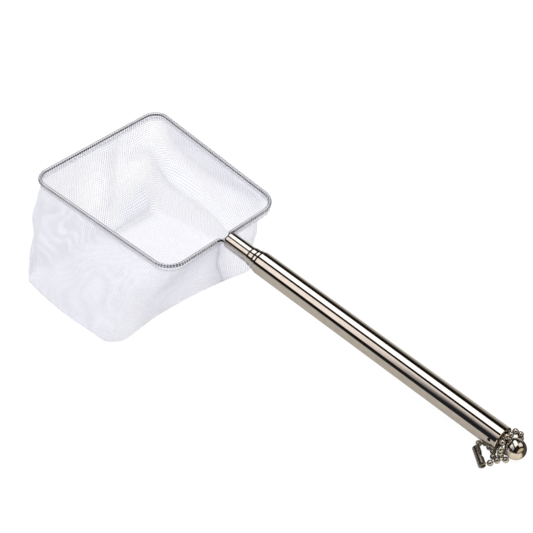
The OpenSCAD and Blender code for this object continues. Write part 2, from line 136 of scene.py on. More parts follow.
class Graph:
    """The nodes of one material, or of the world."""

    def __init__(self, owner):
        owner.use_nodes = True
        self.owner = owner
        self.tree = owner.node_tree
        self.tree.nodes.clear()

    def node(self, kind, settings=None, inputs=None, output=0):
        made = self.tree.nodes.new("ShaderNode" + kind)
        for name, value in (settings or {}).items():
            if name == "stops":
                set_stops(made.color_ramp, value)
            else:
                setattr(made, name, value)
        for name, value in (inputs or {}).items():
            if isinstance(value, Field):
                self.tree.links.new(value.socket, made.inputs[name])
            else:
                made.inputs[name].default_value = value
        return Field(self, made, output)

    def blend(self, factor, a, b):
        """Colour a where factor is 0, colour b where it is 1."""
        a, b = [side if isinstance(side, Field) else (*side, 1) for side in (a, b)]
        return self.node("Mix", {"data_type": "RGBA"}, {0: factor, 6: a, 7: b}, 2)

    def dot(self, vector, way):
        return self.node("VectorMath", {"operation": "DOT_PRODUCT"},
                         {0: vector, 1: tuple(way)}, "Value")

    def noise(self, vector, scale, detail=2.0):
        return self.node("TexNoise", None, {"Vector": vector, "Scale": scale, "Detail": detail})

    def bump(self, height, strength, distance):
        return self.node("Bump", None,
                         {"Height": height, "Strength": strength, "Distance": distance})

    def split(self, vector):
        """A vector whose output("X"), ("Y") and ("Z") are its parts."""
        return self.node("SeparateXYZ", None, {0: vector})

    def weave(self):
        """A piece's thread places: millimetres each way, and the share they are thicker by."""
        return self.node("Attribute", {"attribute_name": "weave"}, output="Vector")

    def principled(self, **sockets):
        """A surface from socket values, with _ for each space in a socket's name."""
        named = {name.replace("_", " "): value for name, value in sockets.items()}
        return self.finish(self.node("BsdfPrincipled", None, named))

    def finish(self, surface, kind="OutputMaterial"):
        last = self.tree.nodes.new("ShaderNode" + kind)
        self.tree.links.new(surface.socket, last.inputs["Surface"])
        return self.owner


def set_stops(ramp, stops):
    """Stops are (place, colour), in order."""
    for place, colour in stops[2:]:
        ramp.elements.new(place)
    for element, (place, colour) in zip(ramp.elements, stops):
        element.position = place
        element.color = (*colour, 1)


# ---- the net's own frame, from the joint that the head turns on ----
def joint(name):
    return next(j for j in frame["joints"] if j["name"] == name)


ALONG = Vector(joint("head_turn")["axis"])
ACROSS = Vector((0, 1, 0))
OUT = ALONG.cross(ACROSS)
ON_AXIS = Vector(joint("head_turn")["pos_m"])
# The middle of the hoop's near bar, from which the hoop's own middle comes over x = 0
MOUTH = ON_AXIS + ALONG * (HOOP_LEN / 2 - ON_AXIS.x / ALONG.x)
NET = Matrix((ALONG, ACROSS, OUT)).transposed()


def lie(points):
    """Points of the net's own frame, an (n, 3) array, in the row frame."""
    return np.asarray(points) @ np.array(NET).T + np.array(MOUTH)


# ---- routes with rounded corners ----
def unit(v):
    return v / np.linalg.norm(v)


def distances(points):
    """How far along a line each of its points lies."""
    steps = np.linalg.norm(np.diff(points, axis=0), axis=1)
    return np.concatenate([[0], np.cumsum(steps)])


def corner_arc(before, at, after, r, steps):
    """Points along one rounded corner of a flat route."""
    u, v = unit(at - before), unit(after - at)
    bend = math.atan2(u[0] * v[1] - u[1] * v[0], u @ v)
    left = np.array([-u[1], u[0]]) * math.copysign(1, bend)
    middle = at - u * r * math.tan(abs(bend) / 2) + left * r
    begin = math.atan2(-left[1], -left[0])
    angles = begin + bend * np.linspace(0, 1, steps + 1)
    return middle + r * np.stack([np.cos(angles), np.sin(angles)], 1)


def closed_loop(corners, radii, bows, arc_steps, side_steps):
    """A closed ring of points round four corners, each side bowed outwards."""
    corners = [np.array(c, float) for c in corners]
    arcs = []
    for i in range(CORNERS):
        after = corners[(i + 1) % CORNERS]
        arcs.append(corner_arc(corners[i - 1], corners[i], after, radii[i], arc_steps))
    ring = []
    for i in range(CORNERS):
        start, end = arcs[i][-1], arcs[(i + 1) % CORNERS][0]
        way = end - start
        out = np.array([-way[1], way[0]]) / np.linalg.norm(way)
        share = np.arange(1, side_steps)[:, None] / side_steps
        ring += [arcs[i], start + way * share + out * bows[i] * np.sin(np.pi * share)]
    return np.concatenate(ring)


def open_route(points, radii, arc_steps, spacing):
    """Points along an open flat route with rounded corners, evenly close."""
    points = [np.array(p, float) for p in points]
    line = [points[0][None]]
    for before, at, after, r in zip(points, points[1:], points[2:], radii[1:]):
        line.append(corner_arc(before, at, after, r, arc_steps))
    line = np.concatenate(line + [points[-1][None]])
    lengths = distances(line)
    even = np.linspace(0, lengths[-1], round(lengths[-1] / spacing) + 1)
    return np.stack([np.interp(even, lengths, line[:, k]) for k in range(2)], 1)


def inset(corners, d):
    """Four corners moved inwards by the same distance on every side."""
    corners = [np.array(c, float) for c in corners]
    moved = []
    for i in range(CORNERS):
        u = unit(corners[i] - corners[i - 1])
        v = unit(corners[(i + 1) % CORNERS] - corners[i])
        nu, nv = np.array([u[1], -u[0]]), np.array([v[1], -v[0]])
        moved.append(corners[i] + (nu + nv) / (1 + nu @ nv) * d)
    return moved


HOOP_CORNERS = [(0, -HOOP_NEAR_W / 2), (-HOOP_LEN, -HOOP_FAR_W / 2),
                (-HOOP_LEN, HOOP_FAR_W / 2), (0, HOOP_NEAR_W / 2)]
HOOP_RADII = [NEAR_CORNER_R, FAR_CORNER_R, FAR_CORNER_R, NEAR_CORNER_R]
HOOP_ARC_STEPS = 24
NO_BOW = [0] * CORNERS


# ---- meshes ----
def piece(name, points, faces, body, stands_for, weave):
    """A smooth mesh piece in the row frame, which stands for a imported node."""
    mesh = bpy.data.meshes.new(name)
    mesh.from_pydata([tuple(p) for p in points], [], faces)
    mesh.polygons.foreach_set("use_smooth", [True] * len(mesh.polygons))
    layer = mesh.attributes.new("weave", "FLOAT_VECTOR", "CORNER")
    layer.data.foreach_set("vector", np.asarray(weave, np.float32).ravel())
    mesh.update()
    made = bpy.data.objects.new(name, mesh)
    bpy.context.scene.collection.objects.link(made)
    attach(made, body)
    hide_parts(stands_for)
    return made


def dress(made, material):
    made.data.materials.clear()
    made.data.materials.append(material)
    return made


def grid_faces(rows, columns, closed):
    """Quads of a grid of points, row by row; closed joins the last column to the first."""
    across = columns if closed else columns - 1
    faces = []
    for r in range(rows - 1):
        for c in range(across):
            d = (c + 1) % columns
            faces.append((r * columns + c, (r + 1) * columns + c,
                          (r + 1) * columns + d, r * columns + d))
    return faces


def grid_weave(grid, closed):
    """Thread places for the quads of a grid of points, by the points' distances apart."""
    rows, columns = grid.shape[:2]
    steps = np.linalg.norm(np.diff(grid, axis=0), axis=2).mean(1)
    along = np.concatenate([[0], np.cumsum(steps)])
    span = np.linalg.norm(np.diff(grid, axis=1), axis=2).mean(0)
    across = np.concatenate([[0], np.cumsum(span)])
    weave = []
    for r in range(rows - 1):
        for c in range(columns if closed else columns - 1):
            far = across[c + 1] if c + 1 < columns else across[c] + span[0]
            weave += [(along[r], across[c], 0), (along[r + 1], across[c], 0),
                      (along[r + 1], far, 0), (along[r], far, 0)]
    return np.array(weave) / MM


def open_sheet(grid):
    """Points, faces and thread places of a grid of points with four free edges."""
    return grid.reshape(-1, 3), grid_faces(*grid.shape[:2], False), grid_weave(grid, False)


def solid_tube(grid):
    """The same for rings of points, each closed, with a face over the first and the last."""
    rows, sides = grid.shape[:2]
    last = (rows - 1) * sides
    faces = grid_faces(rows, sides, True)
    faces += [tuple(range(sides)), tuple(range(last + sides - 1, last - 1, -1))]
    weave = [*grid_weave(grid, True), *[(0, 0, 0)] * (2 * sides)]
    return grid.reshape(-1, 3), faces, weave


def joined(parts):
    """Several (points, faces, thread places) as one."""
    points, faces, weave = [], [], []
    for part_points, part_faces, part_weave in parts:
        faces += [tuple(corner + len(points) for corner in face) for face in part_faces]
        points += list(part_points)
        weave += list(part_weave)
    return points, faces, weave


def circle(sides):
    """Points of a round profile of radius 1."""
    turns = np.arange(sides) / sides * 2 * np.pi
    return np.stack([np.cos(turns), np.sin(turns)], 1)


def sweep(line, profile):
    """A profile of (sideways, up) points along a flat line, in the net's own frame."""
    ways = np.gradient(line, axis=0)
    ways /= np.linalg.norm(ways, axis=1)[:, None]
    left = np.stack([-ways[:, 1], ways[:, 0]], 1)
    flat = line[:, None] + left[:, None] * profile[:, :1]
    up = np.broadcast_to(profile[:, 1:], (*flat.shape[:2], 1))
    return np.concatenate([flat, up], 2)


# ---- metals ----
# Noise as (per millimetre along the handle, per millimetre aside, detail)
STREAKS = (0.04, 6, 3.0)  # drawing lines
MARKS = (0.35, 0.35, 4.0)  # handling marks
SPECKLES = (9, 9, 2.0)    # fine grain
MARKED = (0.35, 0.75)     # noise at which a mark starts, and at which it is full
MARK_TONE = 0.9           # how much of its colour a mark keeps
MARK_ROUGH = 0.5          # share by which a mark is rougher
STREAK_H = 0.02           # share of the bump's distance that drawing lines stand out
METAL_BUMP = (0.5, 0.02 * MM)  # strength and distance, here and in the ones below


def handle_place(graph):
    """Distances along, across and out from the handle's axis, in millimetres."""
    place = graph.node("TexCoord", output="Object")
    from_axis = graph.node("VectorMath", {"operation": "SUBTRACT"}, {0: place, 1: tuple(ON_AXIS)},
                           "Vector")
    return [graph.dot(from_axis, way / MM) for way in (ALONG, ACROSS, OUT)]


def metal(name, colour, roughness, grain=0.0):
    """Metal with drawing lines along the handle, a hint of handling marks and a fine grain."""
    graph = Graph(bpy.data.materials.new(name))
    along, across, out = handle_place(graph)

    def pattern(lengthwise, aside, detail):
        stretched = {0: along * lengthwise, 1: across * aside, 2: out * aside}
        return graph.noise(graph.node("CombineXYZ", None, stretched), 1.0, detail)

    lines = pattern(*STREAKS)
    shade = pattern(*MARKS).rise(*MARKED)
    speckle = pattern(*SPECKLES)
    return graph.principled(
        Base_Color=graph.blend(shade, colour, [c * MARK_TONE for c in colour]),
        Metallic=1.0,
        Roughness=roughness + shade * (roughness * MARK_ROUGH) + speckle * grain,
        Normal=graph.bump(lines * STREAK_H + speckle * grain, *METAL_BUMP))


PAINTED_HIGHLIGHT_HALF = 0.75        # millimetres on each side of the wire's crown that carry the painted highlight
FLANK_BLEND = 0.3         # millimetres from there to the painted shade of the flanks
CROWN_EDGE_NOISE = 1.2          # noise per millimetre that makes the painted highlight's edge uneven,
CROWN_EDGE_NOISE_W = 0.2        # and by how many millimetres
# Painted light: the crown's colour is a painted highlight, and the flanks' colour is painted
# shade
PAINTED_HIGHLIGHT_WIRE = (0.55, 0.55, 0.57)
PAINTED_SHADE_WIRE = (0.05, 0.05, 0.055)
BRIGHT_ROUGH = 0.06
FLANK_ROUGH = 0.2         # how much rougher the flanks are


def wire_steel():
    """Drawn wire with a painted highlight along its crown and painted shade on its flanks."""
    graph = Graph(bpy.data.materials.new("drawn wire steel"))
    weave = graph.weave()
    quarter_turn = math.pi / 4 * WIRE_D / MM
    off_crown = (graph.split(weave).output("Y") - quarter_turn).absolute()
    uneven_edge = graph.noise(weave, CROWN_EDGE_NOISE) * CROWN_EDGE_NOISE_W
    shaded_flank = (off_crown + uneven_edge).rise(PAINTED_HIGHLIGHT_HALF, PAINTED_HIGHLIGHT_HALF + FLANK_BLEND)
    return graph.principled(
        Base_Color=graph.blend(shaded_flank, PAINTED_HIGHLIGHT_WIRE, PAINTED_SHADE_WIRE),
        Metallic=1.0,
        Roughness=shaded_flank * FLANK_ROUGH + BRIGHT_ROUGH)


# ---- plastic ----
PLASTIC = (0.03, 0.03, 0.033)
PLASTIC_HIGH = (0.05, 0.05, 0.055)
PLASTIC_GRAIN = (2500.0, 3.0)  # noise per metre, and its detail
PLASTIC_ROUGH = 0.35
GRAIN_ROUGH = 0.2         # how much rougher the grain makes it
PLASTIC_BUMP = (0.4, 0.05 * MM)


def rubbery_plastic():
    graph = Graph(bpy.data.materials.new("moulded black plastic"))
    grain = graph.noise(graph.node("TexCoord", output="Object"), *PLASTIC_GRAIN)
    return graph.principled(
        Base_Color=graph.blend(grain, PLASTIC, PLASTIC_HIGH),
        Roughness=PLASTIC_ROUGH + grain * GRAIN_ROUGH,
        Normal=graph.bump(grain, *PLASTIC_BUMP))


# ---- cloth ----
MESH_PITCH = (0.8, 1.0)   # millimetres between two threads: round the bag, and down it
YARN = 0.23               # share of the pitch that a thread covers
HEM_PITCH = (1.2, 0.9)
HEM_YARN = 0.19
SEAM_YARN = 0.12
YARN_EDGE = 0.05          # share of the pitch over which its edge fades, to each side
# Noise as (per millimetre, detail)
UNEVEN = (0.35, 3.0)      # of the threads' thickness
DRIFT = (0.09, 3.0)       # of the cloth's slow change of tone
DRIFTED = (0.3, 0.75)     # noise at which that change starts, and at which it is full
DRIFT_TONE = 0.95         # how much of its colour the cloth keeps there
KNOT_H = 0.6              # how much more the threads stand out where they cross
CLOTH_ROUGH = 0.6
CLOTH_SHEEN = 0.2
CLOTH_BUMP = (0.5, 0.12 * MM)


def cloth(name, colour, pitch, yarn):
    """Fine open net: two sets of threads that cross, with holes between them."""
    graph = Graph(bpy.data.materials.new(name))
    weave = graph.weave()
    split = graph.split(weave)
    uneven = graph.noise(weave, *UNEVEN) - 0.5
    half_cover = (1 + split.output("Z") + uneven) * (yarn / 2)
    heights = []
    for axis, apart in zip("XY", pitch):
        off = (split.output(axis) / apart).off_lane()
        heights.append(1 - (off - half_cover).rise(-YARN_EDGE, YARN_EDGE))
    threads = heights[0].math("MAXIMUM", *heights)
    knots = heights[0] * heights[1]
    drift = graph.noise(weave, *DRIFT).rise(*DRIFTED)
    return graph.principled(
        Base_Color=graph.blend(drift, colour, [c * DRIFT_TONE for c in colour]),
        Roughness=CLOTH_ROUGH,
        Alpha=threads,
        Normal=graph.bump(threads + knots * KNOT_H, *CLOTH_BUMP),
        Sheen_Weight=CLOTH_SHEEN)


# The darker colour in the grooves between the twisted strands is painted shade
THREAD_GROOVE_SHADE = (0.62, 0.62, 0.66)
THREAD_WHITE = (0.9, 0.9, 0.93)
TWISTS = 3.0              # strands per millimetre of thread
THREAD_ROUGH = 0.55
THREAD_BUMP = (0.6, 0.06 * MM)


def thread_material():
    graph = Graph(bpy.data.materials.new("white sewing thread"))
    split = graph.split(graph.weave())
    strand = (split.output("X") * TWISTS + split.output("Y")).off_lane() * 2
    return graph.principled(
        Base_Color=graph.blend(strand, THREAD_GROOVE_SHADE, THREAD_WHITE),
        Roughness=THREAD_ROUGH,
        Normal=graph.bump(strand, *THREAD_BUMP))


# ---- hoop wire ----
WIRE_SIDES = 24
WIRE_STEP = 0.4 * MM


def hoop_wire():
    line = open_route(
        [(LEG_END_X, -LEG_Y), (0, -LEG_Y), *HOOP_CORNERS, (0, LEG_Y), (LEG_END_X, LEG_Y)],
        [0, LEG_BEND_R, *HOOP_RADII, LEG_BEND_R, 0], HOOP_ARC_STEPS, WIRE_STEP)
    points, faces, weave = solid_tube(sweep(line, WIRE_D / 2 * circle(WIRE_SIDES)))
    return piece("hoop_wire_drawn", lie(points), faces, "net_head", "hoop_wire",
                 weave)


# ---- bag ----
FINER = 5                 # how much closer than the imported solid's its columns are
ARC_STEPS = 6 * FINER
SIDE_STEPS = 10 * FINER
PER_CORNER = ARC_STEPS + SIDE_STEPS
COLUMNS = CORNERS * PER_CORNER
WALL_ROWS = 96
FLOOR_RINGS = 36
BAG_TOP = -2.4 * MM       # where the bag's cloth starts, inside the hem
CLOTH_T = 0.5 * MM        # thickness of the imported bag, whose middle the cloth follows
ROUND_MM = 78             # what one corner and its side measure along the wall
DEPTH_MM = 46             # what the wall measures from hem to foot

# Folds of the wall: how far one stands out (+) or in (-) and how wide it is, both in
# millimetres, and the line along which it runs. A line's points are (round, depth): round
# counts corners from the near left one, with the side after each, and depth runs from 0
# at the hem to 1 at the foot.
FOLDS = [
    (2.4, 5.5, [(2.15, 0.3), (2.55, 0.33), (2.75, 0.27), (2.95, 0.15)]),
    (-3.0, 3.6, [(1.92, 0.19), (2.2, 0.385), (2.42, 0.56), (2.6, 0.57), (2.75, 0.58),
                 (2.95, 0.62)]),
    (-2.6, 4, [(1.75, 0.04), (1.76, 0.5), (1.78, 0.95)]),
    (-5.0, 5, [(1.84, 0.9), (2.04, 0.86)]),
    (3.0, 4, [(1.98, 0.72), (2.1, 0.78), (2.16, 0.9)]),
    (2.2, 11, [(1.1, 0.12), (1.14, 0.4), (1.2, 0.55)]),
    (1.6, 6, [(1.3, 0.8), (1.34, 0.95)]),
    (1.0, 7, [(0.3, 0.2), (0.34, 0.9)]),
    (-1.6, 5, [(0.5, 0.3), (0.42, 0.6), (0.3, 0.85)]),
    (-1.4, 6, [(0.62, 0.1), (0.75, 0.5), (0.95, 0.8)]),
    (1.1, 5, [(3.3, 0.1), (3.36, 0.9)]),
    (-1.0, 4, [(3.8, 0.1), (3.85, 0.9)]),
]
# Where the threads are thicker (+) or thinner (-): partly where the cloth is gathered or
# stretched, and partly painted shade and light, thicker threads darkening creases and
# shaded walls and thinner ones lightening others. By what share, how wide in millimetres,
# and on which line
GATHERS_AND_PAINTED_SHADE = [
    (0.9, 3.2, [(3.63, 0.05), (3.58, 0.4), (3.5, 0.95)]),
    (1.8, 11, [(3.7, 0.1), (3.98, 0.22)]),
    (0.5, 9, [(3.8, 0.45), (3.9, 0.7)]),
    (0.85, 18, [(0.62, 0.45), (0.97, 0.45)]),
    (1.0, 12, [(0.55, 0.95), (0.95, 0.9)]),
    (-0.5, 9, [(0.1, 0.7), (0.34, 0.6)]),
    (-0.6, 14, [(1.75, 0.4), (1.95, 0.35), (2.1, 0.2)]),
    (-0.5, 7, [(3.42, 0.15), (3.4, 0.8)]),
    (1.0, 8, [(2.45, 0.06), (3.0, 0.06)]),
    (0.7, 4.5, [(1.88, 0.86), (2.0, 0.82)]),
    (0.5, 8, [(0.7, 0.75), (0.98, 0.6)]),
    (0.6, 4, [(1.76, 0.05), (1.78, 0.6)]),
    (0.5, 5, [(1.92, 0.24), (2.2, 0.44), (2.42, 0.62)]),
]
FOLD_FADE_TOP = 0.08      # depth over which folds begin below the hem,
FOLD_FADE_FOOT = 0.06     # and over which they end above the foot
RIPPLE_SEED = 7
RIPPLES = 22
RIPPLE_LAPS = 14          # most waves of one ripple round the bag, either way,
RIPPLE_FALLS = (0.5, 2.6)  # and fewest and most from hem to foot
RIPPLE_H = 0.13           # millimetres that one ripple stands out
FOOT_PASSES = 14          # how often the fold from wall to bottom is eased
FOOT_REACH = 6            # rows on each side of the foot that are eased
FOOT_SOFT = [1, 0, 0.6, 1]  # how much of that easing each corner takes
FLOOR_WAVE = 0.9 * MM     # how far the slack bottom lifts off in places
FLOOR_WAVES_X = (9, 11)   # millimetres per radian of its waves along x, and of their bends
FLOOR_WAVES_Y = (8, 19)   # the same of its waves along y, and of their slant


def by_column(corners):
    """A value for each column: a corner's own round it, blended along the sides."""
    values = []
    for i in range(CORNERS):
        after = corners[(i + 1) % CORNERS]
        values += [corners[i]] * ARC_STEPS
        values += list(np.linspace(corners[i], after, SIDE_STEPS + 1)[:-1])
    return np.array(values)


def line_distance(places, line):
    """Distance in millimetres from each (round, depth) place to a fold's line."""
    scale = np.array([ROUND_MM, DEPTH_MM])
    best = np.full(places.shape[:-1], np.inf)
    for a, b in zip(line, line[1:]):
        a, b = np.array(a) * scale, np.array(b) * scale
        for lap in (-CORNERS, 0, CORNERS):
            off = (places + [lap, 0]) * scale - a
            along = np.clip(off @ (b - a) / ((b - a) @ (b - a)), 0, 1)[..., None]
            best = np.minimum(best, np.linalg.norm(off - along * (b - a), axis=-1))
    return best


def along_lines(places, lines):
    """Each line's height where the place is on it, fading with the distance from it."""
    return sum(height * np.exp(-(line_distance(places, line) / width) ** 2)
               for height, width, line in lines)


def ripples(places):
    """Small soft waves of the slack cloth, in millimetres."""
    draw = np.random.default_rng(RIPPLE_SEED)
    total = np.zeros(places.shape[:-1])
    for _ in range(RIPPLES):
        laps = draw.integers(-RIPPLE_LAPS, RIPPLE_LAPS + 1)
        falls = draw.uniform(*RIPPLE_FALLS)
        shift = draw.uniform(0, 2 * np.pi)
        turns = places[..., 0] / CORNERS * laps + places[..., 1] * falls
        total += RIPPLE_H * np.sin(2 * np.pi * turns + shift)
    return total


def folds(places):
    """How far every place of the wall stands out of its plain shape, in metres."""
    total = along_lines(places, FOLDS) + ripples(places)
    depth = places[..., 1]
    shown = np.clip(depth / FOLD_FADE_TOP, 0, 1) * np.clip((1 - depth) / FOLD_FADE_FOOT, 0, 1)
    return total * MM * shown


def bag_places():
    """The (round, depth) place of every point of the wall."""
    depth, column = np.meshgrid(np.linspace(0, 1, WALL_ROWS + 1), np.arange(COLUMNS),
                                indexing="ij")
    return np.stack([column / PER_CORNER, depth], 2)


def bag_wall():
    """The wall's points, (rows, columns, 3), in the row frame."""
    top = closed_loop(HOOP_CORNERS, HOOP_RADII, NO_BOW, ARC_STEPS, SIDE_STEPS)
    foot = closed_loop(inset([np.array(p) * MM for p in BAG_FOOT], CLOTH_T / 2),
                       [r * MM for r in BAG_FOOT_R], [b * MM for b in FOOT_BOW],
                       ARC_STEPS, SIDE_STEPS)
    rim = lie(np.column_stack([top, np.full(COLUMNS, BAG_TOP)]))
    places = bag_places()
    depth = places[..., 1]
    share = (depth ** by_column(WALL_EASE))[..., None]
    flat = rim[None, :, :2] * (1 - share) + foot[None] * share
    height = rim[None, :, 2] * (1 - depth) + CLOTH_T / 2 * depth
    way = np.roll(flat, -1, 1) - np.roll(flat, 1, 1)
    way /= np.linalg.norm(way, axis=2)[..., None]
    out = np.stack([-way[..., 1], way[..., 0]], 2)
    flat = flat + out * folds(places)[..., None]
    return np.concatenate([flat, height[..., None]], 2)


def bag_floor(wall):
    """The bottom's points, ring by ring inwards, slack enough to lift off in places."""
    middle = wall[-1].mean(0)
    scales = 1 - np.arange(1, FLOOR_RINGS) / FLOOR_RINGS
    floor = middle + (wall[-1] - middle) * scales[:, None, None]
    x, y = floor[..., 0] / MM, floor[..., 1] / MM
    wave = (np.sin(x / FLOOR_WAVES_X[0] + np.sin(y / FLOOR_WAVES_X[1]))
            * np.sin(y / FLOOR_WAVES_Y[0] + x / FLOOR_WAVES_Y[1]) + 1)
    lifted = np.sin(np.pi * scales[:, None]) * wave / 2
    floor[..., 2] += FLOOR_WAVE * lifted
    return floor


def ease_foot(rings):
    """The fold from wall to bottom, made round by easing its rows into each other."""
    eased = rings.copy()
    low, high = WALL_ROWS - FOOT_REACH, WALL_ROWS + FOOT_REACH
    for _ in range(FOOT_PASSES):
        between = (eased[low - 1:high - 1] + 2 * eased[low:high] + eased[low + 1:high + 1]) / 4
        eased[low:high] = between
    return rings + (eased - rings) * by_column(FOOT_SOFT)[:, None]


def bag_shape():
    """All rings of the bag, from the hem down the wall and inwards over the bottom."""
    wall = bag_wall()
    return ease_foot(np.concatenate([wall, bag_floor(wall)]))


def wall_weave(wall):
    """Thread places in millimetres: evenly round the wall, and down it."""
    row = wall[WALL_ROWS // 2]
    girth = np.linalg.norm(np.roll(row, -1, 0) - row, axis=1).sum() / MM
    threads = round(girth / MESH_PITCH[0])
    down = np.linalg.norm(np.diff(wall, axis=0), axis=2).mean(1)
    return (np.arange(COLUMNS) * threads * MESH_PITCH[0] / COLUMNS,
            np.concatenate([[0], np.cumsum(down)]) / MM)


def net_bag(rings):
    middle = rings[-1].mean(0)
    points = np.concatenate([rings.reshape(-1, 3), middle[None]])
    faces = grid_faces(len(rings), COLUMNS, True)
    last = (len(rings) - 1) * COLUMNS
    tip = len(points) - 1
    faces += [(last + c, tip, last + (c + 1) % COLUMNS) for c in range(COLUMNS)]
    round_mm, down_mm = wall_weave(rings[:WALL_ROWS + 1])
    # How much thicker the threads are, from gathered cloth and as painted shade and light
    thicker_or_shaded = along_lines(bag_places(), GATHERS_AND_PAINTED_SHADE)
    weave = []
    for index, face in enumerate(faces):
        row, column = divmod(index, COLUMNS)
        if row < WALL_ROWS:
            beside = (column + 1) % COLUMNS
            left, right = round_mm[column], round_mm[column] + round_mm[1]
            up, low = down_mm[row], down_mm[row + 1]
            weave += [(left, up, thicker_or_shaded[row, column]),
                      (left, low, thicker_or_shaded[row + 1, column]),
                      (right, low, thicker_or_shaded[row + 1, beside]),
                      (right, up, thicker_or_shaded[row, beside])]
        else:
            weave += [(points[corner][0] / MM, points[corner][1] / MM, 0) for corner in face]
    return piece("mesh_bag", points, faces, "net_head", "net_bag", weave)


# ---- hem ----
PLY_HALF = 0.2 * MM       # from the hem's middle to the middle of each ply
TUNNEL_R = 0.92 * MM      # from the wire's middle to the cloth round it
HEM_ARC = 20
HEM_FLAT = 8
HEM_STEP = 0.5 * MM
BRIDGE_COLUMNS = 20


def hem_outline(drop, r, half):
    """Up one ply, round the wire and down the other ply."""
    low = math.asin(half / r)
    turns = np.linspace(low - math.pi / 2, 1.5 * math.pi - low, HEM_ARC + 1)
    over = r * np.stack([np.cos(turns), np.sin(turns)], 1)
    down = np.linspace(over[-1, 1], -drop, HEM_FLAT + 1)[1:]
    left = np.stack([np.full(HEM_FLAT, -half), down], 1)
    right = np.stack([np.full(HEM_FLAT, half), down], 1)[::-1]
    return np.concatenate([right, over, left])


def hem_bridge():
    """The flat strips of hem that pass under the handle, where the wire leaves it."""
    across = np.linspace(-TUNNEL_END_Y, TUNNEL_END_Y, BRIDGE_COLUMNS)
    up = np.linspace(-HEM_DROP, -TUNNEL_R, HEM_FLAT)
    y, z = np.meshgrid(across, up, indexing="ij")
    return [np.stack([np.full(y.shape, side), y, z], 2) for side in (-PLY_HALF, PLY_HALF)]


def hem_band():
    line = open_route([(0, -TUNNEL_END_Y), *HOOP_CORNERS, (0, TUNNEL_END_Y)],
                      [0, *HOOP_RADII], HOOP_ARC_STEPS, HEM_STEP)
    sleeve = sweep(line, hem_outline(HEM_DROP, TUNNEL_R, PLY_HALF))
    points, faces, weave = joined(open_sheet(grid) for grid in [sleeve, *hem_bridge()])
    return piece("hem_sleeve", lie(points), faces, "net_head", "hem_band", weave)


# ---- stitches of the hem ----
STITCH_PITCH = 2.5 * MM
STITCH_LEN = 1.6 * MM
STITCH_UP = 1 * MM        # over the hem's lower edge
THREAD_R = 0.125 * MM
THREAD_TIP = 0.55         # share of its thickness that a stitch keeps at its ends
STITCH_SINK = 0.15 * MM   # how far a stitch's ends lie out from the hem's middle
STITCH_RISE = 0.26 * MM   # how far its middle stands out from its ends
STITCH_STEPS = 8
STITCH_SIDE_STEPS = 60    # of the line that the stitches follow, along one side of the hoop
THREAD_SIDES = 8


def one_stitch(core):
    """A stitch that bulges out from the hem, on flat points from its start to its end."""
    swell = np.sin(np.pi * np.linspace(0, 1, STITCH_STEPS + 1))
    way = unit(core[-1] - core[0])
    out = np.array([-way[1], way[0]])
    core = core + out * (STITCH_RISE * swell)[:, None]
    thick = THREAD_R * (THREAD_TIP + (1 - THREAD_TIP) * swell)[:, None, None]
    sideways, up = circle(THREAD_SIDES).T
    ring = np.stack([out[0] * sideways, out[1] * sideways, up], 1)
    height = np.full(len(core), STITCH_UP - HEM_DROP)
    return np.column_stack([core, height])[:, None] + ring * thick


def hem_stitches():
    line = closed_loop(inset(HOOP_CORNERS, -STITCH_SINK), [r + STITCH_SINK for r in HOOP_RADII],
                       NO_BOW, HOOP_ARC_STEPS, STITCH_SIDE_STEPS)
    line = np.concatenate([line, line[:1]])
    lengths = distances(line)
    count = math.floor(lengths[-1] / STITCH_PITCH)
    share = np.linspace(0, 1, STITCH_STEPS + 1)
    stitches = []
    for k in range(count):
        along = k * lengths[-1] / count + share * STITCH_LEN
        core = np.stack([np.interp(along, lengths, line[:, axis]) for axis in range(2)], 1)
        stitches.append(solid_tube(one_stitch(core)))
    points, faces, weave = joined(stitches)
    return piece("hem_stitches", lie(points), faces, "net_head", "hem_stitching", weave)


# ---- closing seam ----
SEAM_SIDE = 3 * PER_CORNER + ARC_STEPS  # the column at which the near side starts
SEAM_FROM = 4.3 * FINER   # columns along the near side, at the hem and at the foot
SEAM_TO = 1.7 * FINER
SEAM_TOP = 0.02           # where the seam starts and ends, as a share of the wall's depth
SEAM_BOTTOM = 0.96
SEAM_ROWS = 120
SEAM_HALF_W = 0.8 * MM
SEAM_HALF_T = 0.12 * MM
SEAM_OUT = 0.3 * MM       # from the wall's middle to the seam's
SEAM_PUCKER = 0.22 * MM   # how far the seam winds to each side
SEAM_PUCKERS = 11
PUCKER_SWELL = 0.5        # how much of that the seam widens by
SEAM_SIDES = 14


def on_wall(wall, depth, column):
    """Points between the wall's own, at each depth (0 to 1) and column."""
    row = depth * WALL_ROWS
    r, c = np.floor(row).astype(int), np.floor(column).astype(int)
    down, beside = (row - r)[:, None], (column - c)[:, None]
    upper = wall[r, c] * (1 - beside) + wall[r, c + 1] * beside
    lower = wall[r + 1, c] * (1 - beside) + wall[r + 1, c + 1] * beside
    return upper * (1 - down) + lower * down


